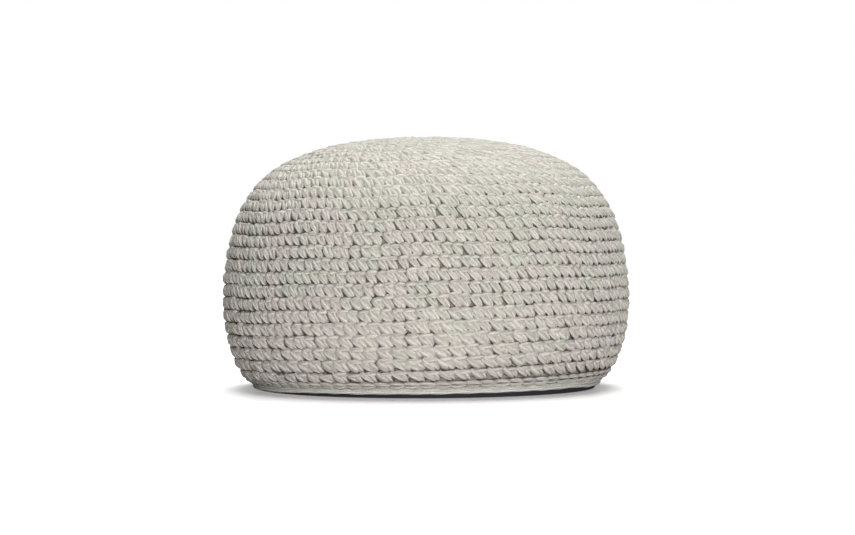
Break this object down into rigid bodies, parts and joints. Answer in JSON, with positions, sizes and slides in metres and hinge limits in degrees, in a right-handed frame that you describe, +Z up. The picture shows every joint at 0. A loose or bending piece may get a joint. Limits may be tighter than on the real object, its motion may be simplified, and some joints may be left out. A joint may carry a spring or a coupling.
{
  "type": "pouf",
  "caption": "Low round pouf with a domed crown, bulged side and drawn-in foot, crocheted in rounds from thick cord and stuffed firm, on a dark base cloth.",
  "frame": {"origin": "on the floor, under the middle of the crown", "axes": "+Z up through the crown, +X to the right and -Y to the front as pictured"},
  "size_m": [0.5001, 0.5002, 0.3087],
  "materials": {
    "crocheted_cord": "matt light warm grey cotton cord, crocheted",
    "dark_cloth": "matt near-black woven cloth"
  },
  "bodies": {
    "root": {"cover": "crocheted_cord", "base_cloth": "dark_cloth"}
  },
  "joints": []
}
